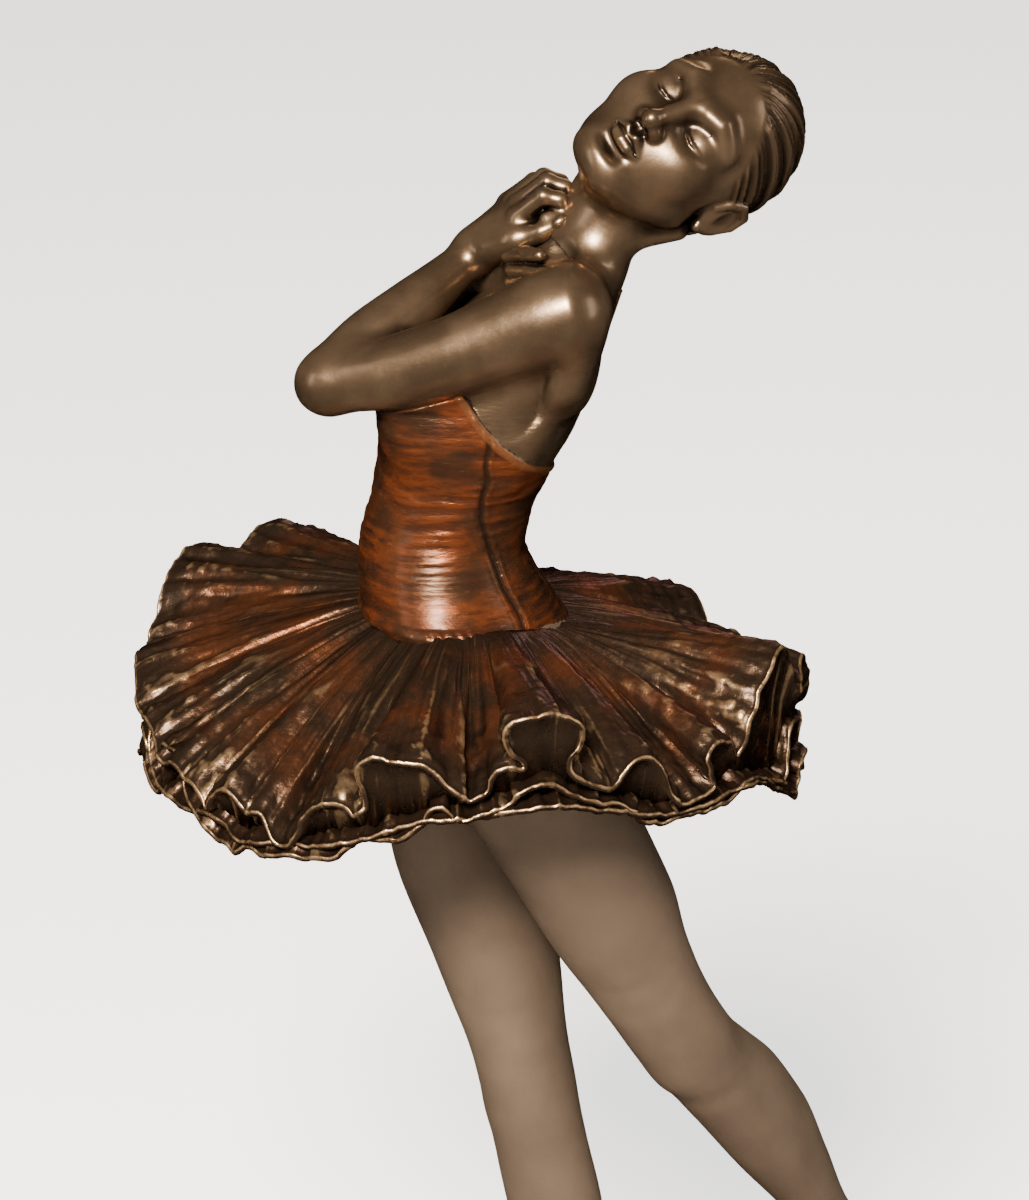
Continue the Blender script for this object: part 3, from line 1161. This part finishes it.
class Surface:
    """A node material built by short calls; every call gives back an output socket."""

    def __init__(self, name):
        self.material = bpy.data.materials.new(name)
        self.material.use_nodes = True
        self.nodes = self.material.node_tree.nodes
        self.links = self.material.node_tree.links
        self.nodes.clear()
        self.shader = self.nodes.new("ShaderNodeBsdfPrincipled")
        out = self.nodes.new("ShaderNodeOutputMaterial")
        self.links.new(self.shader.outputs[0], out.inputs["Surface"])

    def feed(self, socket, value):
        if isinstance(value, bpy.types.NodeSocket):
            self.links.new(value, socket)
        elif value is not None:
            socket.default_value = value

    def add(self, kind, **inputs):
        """A node with its inputs fed by name; an underscore in a name stands for a space."""
        node = self.nodes.new("ShaderNode" + kind)
        for key, value in inputs.items():
            self.feed(node.inputs[key.replace("_", " ")], value)
        return node

    def attribute(self, name):
        node = self.add("Attribute")
        node.attribute_name = name
        return node.outputs["Fac"]

    def place(self, scale=(1, 1, 1)):
        """Position in millimetres."""
        coord = self.add("TexCoord")
        scale = [k / MM for k in scale]
        return self.add("Mapping", Scale=scale, Vector=coord.outputs["Object"]).outputs["Vector"]

    def noise(self, scale, detail=3, roughness=0.5, stretch=(1, 1, 1)):
        return self.add("TexNoise", Scale=scale, Detail=detail, Roughness=roughness,
                        Vector=self.place(stretch)).outputs["Fac"]

    def cells(self, scale):
        return self.add("TexVoronoi", Scale=scale, Vector=self.place()).outputs["Color"]

    def ramp(self, value, a, b, low=0.0, high=1.0):
        """A soft step from low at a to high at b."""
        node = self.add("MapRange")
        node.interpolation_type = "SMOOTHSTEP"
        given = {"From Min": a, "From Max": b, "To Min": low, "To Max": high, "Value": value}
        for key, item in given.items():
            self.feed(node.inputs[key], item)
        return node.outputs["Result"]

    def math(self, operation, a, b):
        node = self.add("Math")
        node.operation = operation
        self.feed(node.inputs[0], a)
        self.feed(node.inputs[1], b)
        return node.outputs[0]

    def times(self, *values):
        return functools.reduce(functools.partial(self.math, "MULTIPLY"), values)

    def mix(self, factor, a, b):
        """Colour a where the factor is 0, b where it is 1."""
        node = self.add("Mix")
        node.data_type = "RGBA"
        for at, given in ((0, factor), (6, a), (7, b)):
            self.feed(node.inputs[at], opaque(given))
        return node.outputs[2]

    def between(self, factor, a, b):
        """The same for two plain numbers."""
        return self.mix(factor, (a,) * 3, (b,) * 3)

    def bump(self, height, depth, below=None):
        """Height in 0..1 over a relief depth in millimetres."""
        node = self.add("Bump", Strength=1.0, Distance=depth * MM, Height=height, Normal=below)
        return node.outputs["Normal"]

    def finish(self, **inputs):
        for key, value in inputs.items():
            self.feed(self.shader.inputs[key.replace("_", " ")], opaque(value))
        return self.material


# Linear colours. A bronze has three: deep in its hollows, its middle tone, and rubbed on what stands out.
SKIN = (0.010, 0.006, 0.004), (0.074, 0.047, 0.028), (0.25, 0.165, 0.10)
LEG = (0.014, 0.010, 0.007), (0.057, 0.040, 0.0285), (0.094, 0.067, 0.047)
RUST_BROWN, RUST_RED = (0.032, 0.014, 0.007), (0.088, 0.022, 0.007)
RUST_STREAK, RUST_RUBBED = (0.026, 0.011, 0.006), (0.17, 0.080, 0.032)
GATHER_DARK, SEAM_DARK, CREASE_DARK = (0.018, 0.009, 0.006), (0.014, 0.008, 0.005), (0.016, 0.009, 0.006)
PIPING_LIGHT, PIPING_DARK = (0.13, 0.045, 0.017), (0.06, 0.024, 0.011)
STRAP_BROWN = (0.10, 0.038, 0.018)
PLEAT_DARK = (0.009, 0.006, 0.004)
SKIRT_TOP = (0.023, 0.014, 0.009), (0.058, 0.020, 0.009), (0.40, 0.25, 0.13)
SKIRT_DEEP = (0.018, 0.010, 0.006), (0.038, 0.014, 0.006), (0.38, 0.24, 0.13)
PLINTH_DARK, PLINTH_BROWN, PLINTH_RUBBED = (0.016, 0.010, 0.007), (0.075, 0.042, 0.024), (0.20, 0.125, 0.07)
FELT_DARK, FELT_GREEN = (0.020, 0.030, 0.020), (0.045, 0.060, 0.042)
ZINC, STEEL, BRASS = (0.62, 0.63, 0.66), (0.30, 0.29, 0.28), (0.72, 0.50, 0.20)
PAPER_WHITE = (0.94, 0.94, 0.94)


def towards(a, b, share):
    """The colour a share of the way from a to b."""
    return tuple((1 - share) * m + share * n for m, n in zip(a, b))


def cast_bronze(name, deep, mid, rubbed, rough, coat=0.18, flake=0.2, hair=False, shoe=False, metal=0.86):
    """Painted cold-cast bronze: dark in the hollows, rubbed on the high places, with fine metal flake."""
    s = Surface(name)
    cavity = s.attribute("cavity")
    cloud = s.noise(0.10, 4)
    tone = s.mix(s.ramp(cloud, 0.35, 0.68), mid, towards(mid, rubbed, 0.28))
    grain = s.noise(2.6, 2)
    tone = s.mix(s.ramp(grain, 0.55, 0.78, 0.0, 0.10), tone, rubbed)
    tone = s.mix(s.ramp(cavity, 0.05, 0.55, 0.0, 0.92), tone, deep)
    if hair:
        grown = s.attribute("hair")
        strand = s.ramp(s.attribute("strand"), 0.05, 0.65, 0.25, 1.0)
        tone = s.mix(grown, tone, s.mix(strand, deep, towards(mid, rubbed, 0.08)))
    if shoe:
        tone = s.mix(s.attribute("shoe"), tone, towards(mid, rubbed, 0.8))
    speck = s.ramp(s.cells(3.4), 0.30, 0.95, rough - 0.10 * flake, rough + 0.10 * flake)
    fine = s.noise(7.0, 2)
    normal = s.bump(fine, 0.012 * (0.4 + flake))
    normal = s.bump(s.noise(0.45, 3), 0.05, normal)
    return s.finish(Base_Color=tone, Metallic=metal, Roughness=speck, Coat_Weight=coat, Coat_Roughness=0.22,
                    Specular_Tint=(0.80, 0.60, 0.42), Normal=normal)


def dressed(name, skin_rough):
    """The bodice in rust-red varnish over its gathers, with bare metal skin above its edge."""
    s = Surface(name)
    cavity = s.attribute("cavity")
    on = s.attribute("cloth")
    gather = s.attribute("gather")
    seam = s.attribute("seam")
    piping = s.attribute("piping")
    strap_on = s.attribute("strap")
    cloud = s.noise(0.10, 4)
    deep, mid, rubbed = SKIN
    bare = s.mix(s.ramp(cloud, 0.35, 0.68), mid, towards(mid, rubbed, 0.28))
    bare = s.mix(s.ramp(cavity, 0.05, 0.55, 0.0, 0.92), bare, deep)
    patches = s.ramp(s.noise(0.085, 4, 0.55, (1, 1, 1.5)), 0.40, 0.62)
    rust = s.mix(patches, RUST_BROWN, RUST_RED)
    streak = s.noise(0.20, 5, 0.68, (1, 1, 6))
    rust = s.mix(s.ramp(streak, 0.46, 0.70, 0.0, 0.80), rust, RUST_STREAK)
    rust = s.mix(s.ramp(gather, -0.15, 0.30, 0.55, 0.0), rust, GATHER_DARK)
    rust = s.mix(s.ramp(s.noise(0.6, 4, 0.6, (1, 1, 5)), 0.60, 0.80, 0.0, 0.35), rust, RUST_RUBBED)
    rust = s.mix(s.ramp(seam, 0.25, 0.9, 0.0, 0.85), rust, SEAM_DARK)
    rust = s.mix(s.ramp(cavity, 0.10, 0.7, 0.0, 0.8), rust, CREASE_DARK)
    colour = s.mix(on, bare, rust)
    trim = s.mix(s.noise(0.9, 2), PIPING_LIGHT, PIPING_DARK)
    colour = s.mix(s.ramp(piping, 0.05, 0.5), colour, trim)
    colour = s.mix(strap_on, colour, STRAP_BROWN)
    dress = s.math("MAXIMUM", on, s.ramp(piping, 0.05, 0.5))
    rough = s.between(dress, skin_rough, 0.31)
    metal = s.between(dress, 0.86, 0.66)
    coat = s.between(dress, 0.20, 0.06)
    normal = s.bump(s.noise(0.55, 5, 0.6, (1, 1, 4)), 0.10)
    normal = s.bump(s.noise(6.0, 2), 0.012, normal)
    return s.finish(Base_Color=colour, Metallic=metal, Roughness=rough, Coat_Weight=coat, Coat_Roughness=0.2,
                    Specular_IOR_Level=0.2, Specular_Tint=(0.80, 0.58, 0.40), Normal=normal)


def ruffled(name, dark, warm, gold, wear):
    """The skirt: dark varnish with rust in the folds and dry-brushed gold on ridges and rim."""
    s = Surface(name)
    ridge = s.attribute("ridge")
    trim = s.attribute("trim")
    out = s.attribute("outward")
    patch = s.ramp(s.noise(0.06, 4, 0.6), 0.42, 0.64)
    middle = s.times(s.ramp(out, 0.12, 0.35), s.ramp(out, 0.98, 0.70))
    colour = s.mix(s.times(patch, middle), dark, warm)
    colour = s.mix(s.ramp(ridge, -0.55, 0.10, 0.85, 0.0), colour, PLEAT_DARK)
    streak = s.ramp(s.noise(0.22, 4, 0.65), 0.34, 0.58, 0.25, 1.0)
    brushed = s.times(s.ramp(ridge, 0.72, 1.02), streak, s.ramp(out, 0.10, 0.90, 0.30, 1.0), wear)
    colour = s.mix(brushed, colour, gold)
    worn = s.times(s.ramp(trim, 0.35, 0.95), s.ramp(s.noise(0.4, 4, 0.65), 0.38, 0.62, 0.10, 0.95))
    colour = s.mix(worn, colour, gold)
    metal = s.ramp(s.math("MAXIMUM", brushed, worn), 0.0, 1.0, 0.78, 0.95)
    rough = s.ramp(s.noise(0.9, 3), 0.3, 0.7, 0.26, 0.40)
    normal = s.bump(s.noise(0.9, 4, 0.55), 0.14)
    return s.finish(Base_Color=colour, Metallic=metal, Roughness=rough, Coat_Weight=0.05, Coat_Roughness=0.22,
                    Specular_IOR_Level=0.2, Specular_Tint=(0.55, 0.35, 0.20), Normal=normal)


def plain_metal(name, colour, rough, scratch):
    """Turned, plated or drawn metal; scratch stretches its fine lines round the Z axis."""
    s = Surface(name)
    tone = s.mix(s.noise(0.7, 4), colour, tuple(0.78 * c for c in colour))
    speck = s.ramp(s.noise(1.5, 3), 0.3, 0.7, rough - 0.06, rough + 0.08)
    return s.finish(Base_Color=tone, Metallic=1.0, Roughness=speck,
                    Normal=s.bump(s.noise(1.2, 4, 0.6, (1, 1, scratch)), 0.03))


def felt(name):
    s = Surface(name)
    tone = s.mix(s.noise(3.0, 4), FELT_DARK, FELT_GREEN)
    return s.finish(Base_Color=tone, Roughness=0.95, Sheen_Weight=0.5, Normal=s.bump(s.noise(5.0, 3), 0.25))


def plinth_finish(name):
    s = Surface(name)
    tone = s.mix(s.ramp(s.noise(0.06, 5, 0.6), 0.35, 0.68), PLINTH_DARK, PLINTH_BROWN)
    tone = s.mix(s.ramp(s.noise(0.9, 4, 0.6), 0.56, 0.76, 0.0, 0.45), tone, PLINTH_RUBBED)
    normal = s.bump(s.noise(0.7, 4), 0.10)
    return s.finish(Base_Color=tone, Metallic=0.75, Roughness=s.ramp(s.noise(0.5, 3), 0.3, 0.7, 0.28, 0.46),
                    Coat_Weight=0.4, Coat_Roughness=0.2, Normal=normal)


MATTE = {"rough": 0.72, "coat": 0.0, "flake": 0.3, "metal": 0.60}
looks = {
    "skin_bronze": cast_bronze("skin_bronze_look", *SKIN, 0.30),
    "hair_bronze": cast_bronze("hair_bronze_look", *SKIN, 0.33),
    "head": cast_bronze("head_look", *SKIN, 0.30, hair=True),
    "leg_bronze": cast_bronze("leg_bronze_look", *LEG, shoe=True, **MATTE),
    "hip_bronze": cast_bronze("hip_bronze_look", *LEG, **MATTE),
    "bodice_patina": dressed("bodice_look", 0.29),
    "skirt_patina": ruffled("skirt_look", *SKIRT_TOP, 0.34),
    "skirt_patina_deep": ruffled("skirt_deep_look", *SKIRT_DEEP, 0.30),
    "plinth": plinth_finish("plinth_look"),
    "felt": felt("felt_look"),
    "zinc_steel": plain_metal("zinc_look", ZINC, 0.34, 1),
    "armature_steel": plain_metal("armature_look", STEEL, 0.42, 6),
    "brass_insert": plain_metal("brass_look", BRASS, 0.30, 1),
}
for obj, slot_name in made.items():
    obj.data.materials.append(looks["head" if obj.name == "head_form" else slot_name])
ARMATURE = ("toe_pin", "standing_leg_rod", "trailing_leg_rod", "spine_rod", "left_shoulder_pin",
            "right_shoulder_pin", "neck_pin", "bun_pin")
CAD_SHOWN = {"base_plinth": "plinth", "base_felt": "felt", "base_screw": "zinc_steel",
             "base_washer": "zinc_steel", "foot_insert": "brass_insert",
             **dict.fromkeys(ARMATURE, "armature_steel")}
for node, slot_name in CAD_SHOWN.items():
    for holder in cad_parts[node].material_slots:
        holder.material = looks[slot_name]

# ---- floor, light and camera ----
floor_mesh = bpy.data.meshes.new("floor")
floor_mesh.from_pydata([(-6, -6, 0), (6, -6, 0), (6, 6, 0), (-6, 6, 0)], [], [(0, 1, 2, 3)])
floor = bpy.data.objects.new("floor", floor_mesh)
bpy.context.scene.collection.objects.link(floor)
floor.visible_glossy = False
paper = Surface("paper").finish(Base_Color=PAPER_WHITE, Roughness=0.9, Specular_IOR_Level=0.1)
floor_mesh.materials.append(paper)

world = bpy.data.worlds.new("studio")
bpy.context.scene.world = world
world.use_nodes = True
world.node_tree.nodes["Background"].inputs["Color"].default_value = (1.0, 0.99, 0.98, 1)
world.node_tree.nodes["Background"].inputs["Strength"].default_value = 1.8
world.cycles_visibility.glossy = False


def lamp(name, place, aim, size, power, tint=(1, 1, 1), mirrored=True):
    light = bpy.data.lights.new(name, "AREA")
    light.shape = "RECTANGLE"
    light.size, light.size_y = size
    light.energy = power
    light.color = tint
    obj = bpy.data.objects.new(name, light)
    obj.location = place
    obj.rotation_euler = (Vector(aim) - Vector(place)).to_track_quat("-Z", "Y").to_euler()
    obj.visible_glossy = mirrored
    bpy.context.scene.collection.objects.link(obj)


CENTRE = (-0.026, -0.013, 0.18)
lamp("key", (-0.30, -1.20, 0.98), CENTRE, (0.42, 0.34), 150, (1.0, 0.92, 0.80))
lamp("left", (-1.1, -0.5, 0.55), CENTRE, (0.30, 0.7), 3.5, (1.0, 0.95, 0.88))
lamp("right", (1.1, -0.2, 0.5), CENTRE, (0.30, 0.7), 4, (1.0, 0.95, 0.88))
lamp("back", (0.3, 1.1, 0.9), CENTRE, (0.5, 0.3), 3, (1.0, 0.94, 0.86))
lamp("dim_front", (-0.2, -2.2, 0.7), CENTRE, (2.4, 1.2), 2)

camera_data = bpy.data.cameras.new("camera")
camera_data.lens = 162
camera_data.sensor_width = 36
camera_data.clip_start = 0.01
camera = bpy.data.objects.new("camera", camera_data)
camera.location = (-0.026, -0.8737, 0.4479)
camera.rotation_euler = (math.radians(73), 0, 0)
bpy.context.scene.collection.objects.link(camera)
bpy.context.scene.camera = camera
